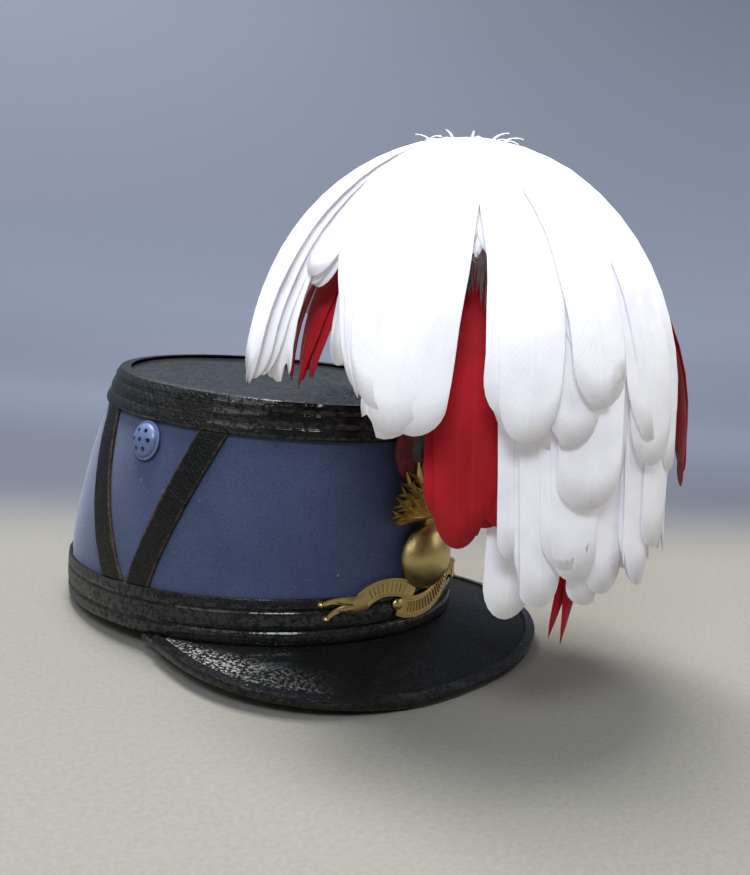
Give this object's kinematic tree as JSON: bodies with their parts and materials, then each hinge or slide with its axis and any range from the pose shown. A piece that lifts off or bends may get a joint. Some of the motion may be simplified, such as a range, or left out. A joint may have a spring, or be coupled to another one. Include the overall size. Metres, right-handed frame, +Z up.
{
  "type": "shako hat",
  "caption": "Oval cloth-covered shako with leather bands and peak, side straps and ventilators, a flaming grenade badge, a round cockade and a drooping feather plume.",
  "frame": {"origin": "middle of the bounding box in plan, at the level of the surface the hat stands on", "axes": "-Y towards the front (peak and plume), +X towards the wearer's left, +Z up; the hat stands on the rear of its rim and the front of its peak, so its own axis leans about 4 degrees back"},
  "size_m": [0.197, 0.3332, 0.2402],
  "materials": {
    "cloth": "felted wool cloth, matt",
    "leather": "varnished black leather, worn",
    "vent_paint": "painted blue-grey, chipped",
    "cockade_paint": "stamped and painted, dull",
    "brass": "tarnished, rubbed bright on the high points",
    "white_feather": "loose barbs",
    "red_feather": "loose barbs",
    "iron": "plain, hidden"
  },
  "bodies": {
    "root": {"crown": "cloth", "lower_band": "leather", "upper_band": "leather", "top_disc": "leather", "peak": "leather", "peak_binding": "leather", "chevron_front_left": "leather", "chevron_front_right": "leather", "chevron_rear_left": "leather", "chevron_rear_right": "leather", "vent_left": "vent_paint", "vent_right": "vent_paint", "cockade": "cockade_paint", "badge": "brass", "plume_white": "white_feather", "plume_red": "red_feather", "plume_stem": "iron"}
  },
  "joints": []
}
